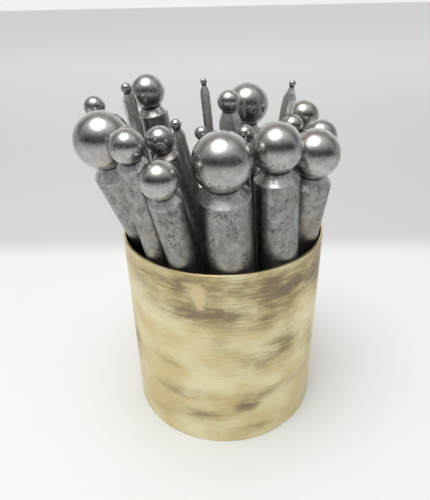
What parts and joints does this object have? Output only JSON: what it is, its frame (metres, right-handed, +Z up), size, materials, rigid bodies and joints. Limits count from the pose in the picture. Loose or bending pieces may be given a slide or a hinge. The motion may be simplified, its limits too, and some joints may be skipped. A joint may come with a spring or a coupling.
{
  "type": "doming punch set in cup",
  "caption": "Graded steel doming punches, ball ends up, standing loose in a straight open brass cup; each punch lifts out along its own length.",
  "frame": {"origin": "centre of the cup's underside, on the surface it stands on", "axes": "+Z up along the cup's axis; -Y is the front, where the larger punches lean over the rim; +X to the right seen from the front"},
  "size_m": [0.0719, 0.0707, 0.1105],
  "materials": {
    "brass_tube": "brushed, tarnished",
    "brass_sheet": "dull, tarnished",
    "turned_steel": "satin turned, worn",
    "bar_steel": "satin bar, worn"
  },
  "bodies": {
    "cup": {"cup_wall": "brass_tube", "cup_base": "brass_sheet"},
    "punch_01": {"punch_01": "turned_steel"},
    "punch_02": {"punch_02": "turned_steel"},
    "punch_03": {"punch_03": "turned_steel"},
    "punch_04": {"punch_04": "turned_steel"},
    "punch_05": {"punch_05": "turned_steel"},
    "punch_06": {"punch_06": "turned_steel"},
    "punch_07": {"punch_07": "turned_steel"},
    "punch_08": {"punch_08": "turned_steel"},
    "punch_09": {"punch_09": "turned_steel"},
    "punch_10": {"punch_10": "turned_steel"},
    "punch_11": {"punch_11": "turned_steel"},
    "punch_12": {"punch_12": "turned_steel"},
    "punch_13": {"punch_13": "turned_steel"},
    "punch_14": {"punch_14": "bar_steel"},
    "punch_15": {"punch_15": "turned_steel"},
    "punch_16": {"punch_16": "turned_steel"},
    "punch_17": {"punch_17": "turned_steel"},
    "punch_18": {"punch_18": "bar_steel"},
    "punch_19": {"punch_19": "bar_steel"},
    "punch_20": {"punch_20": "bar_steel"},
    "punch_21": {"punch_21": "bar_steel"}
  },
  "joints": [
    {"name": "punch_01_lift", "type": "slide", "parent": "cup", "child": "punch_01", "axis": [-0.2665, -0.2649, 0.9267], "range_m": [0, 0.072]},
    {"name": "punch_02_lift", "type": "slide", "parent": "cup", "child": "punch_02", "axis": [-0.0633, -0.1799, 0.9816], "range_m": [0, 0.068]},
    {"name": "punch_03_lift", "type": "slide", "parent": "cup", "child": "punch_03", "axis": [0.0728, -0.2267, 0.9712], "range_m": [0, 0.068]},
    {"name": "punch_04_lift", "type": "slide", "parent": "cup", "child": "punch_04", "axis": [-0.0589, -0.1229, 0.9907], "range_m": [0, 0.067]},
    {"name": "punch_05_lift", "type": "slide", "parent": "cup", "child": "punch_05", "axis": [0.0644, -0.1268, 0.9898], "range_m": [0, 0.067]},
    {"name": "punch_06_lift", "type": "slide", "parent": "cup", "child": "punch_06", "axis": [-0.1173, -0.168, 0.9788], "range_m": [0, 0.068]},
    {"name": "punch_07_lift", "type": "slide", "parent": "cup", "child": "punch_07", "axis": [-0.1208, -0.3553, 0.9269], "range_m": [0, 0.072]},
    {"name": "punch_08_lift", "type": "slide", "parent": "cup", "child": "punch_08", "axis": [0.1326, -0.1452, 0.9805], "range_m": [0, 0.068]},
    {"name": "punch_09_lift", "type": "slide", "parent": "cup", "child": "punch_09", "axis": [0.0902, -0.2204, 0.9712], "range_m": [0, 0.068]},
    {"name": "punch_10_lift", "type": "slide", "parent": "cup", "child": "punch_10", "axis": [-0.0975, -0.3022, 0.9483], "range_m": [0, 0.07]},
    {"name": "punch_11_lift", "type": "slide", "parent": "cup", "child": "punch_11", "axis": [-0.2504, -0.1836, 0.9506], "range_m": [0, 0.07]},
    {"name": "punch_12_lift", "type": "slide", "parent": "cup", "child": "punch_12", "axis": [0.0851, -0.1811, 0.9798], "range_m": [0, 0.068]},
    {"name": "punch_13_lift", "type": "slide", "parent": "cup", "child": "punch_13", "axis": [-0.1989, -0.1867, 0.9621], "range_m": [0, 0.069]},
    {"name": "punch_14_lift", "type": "slide", "parent": "cup", "child": "punch_14", "axis": [-0.0633, -0.1688, 0.9836], "range_m": [0, 0.068]},
    {"name": "punch_15_lift", "type": "slide", "parent": "cup", "child": "punch_15", "axis": [-0.2506, -0.2717, 0.9292], "range_m": [0, 0.072]},
    {"name": "punch_16_lift", "type": "slide", "parent": "cup", "child": "punch_16", "axis": [-0.1144, -0.1419, 0.9832], "range_m": [0, 0.068]},
    {"name": "punch_17_lift", "type": "slide", "parent": "cup", "child": "punch_17", "axis": [-0.1794, -0.1634, 0.9701], "range_m": [0, 0.069]},
    {"name": "punch_18_lift", "type": "slide", "parent": "cup", "child": "punch_18", "axis": [-0.0878, -0.2108, 0.9736], "range_m": [0, 0.068]},
    {"name": "punch_19_lift", "type": "slide", "parent": "cup", "child": "punch_19", "axis": [-0.1726, -0.2539, 0.9517], "range_m": [0, 0.07]},
    {"name": "punch_20_lift", "type": "slide", "parent": "cup", "child": "punch_20", "axis": [-0.0814, -0.0948, 0.9922], "range_m": [0, 0.067]},
    {"name": "punch_21_lift", "type": "slide", "parent": "cup", "child": "punch_21", "axis": [0.1193, -0.1581, 0.9802], "range_m": [0, 0.068]}
  ]
}
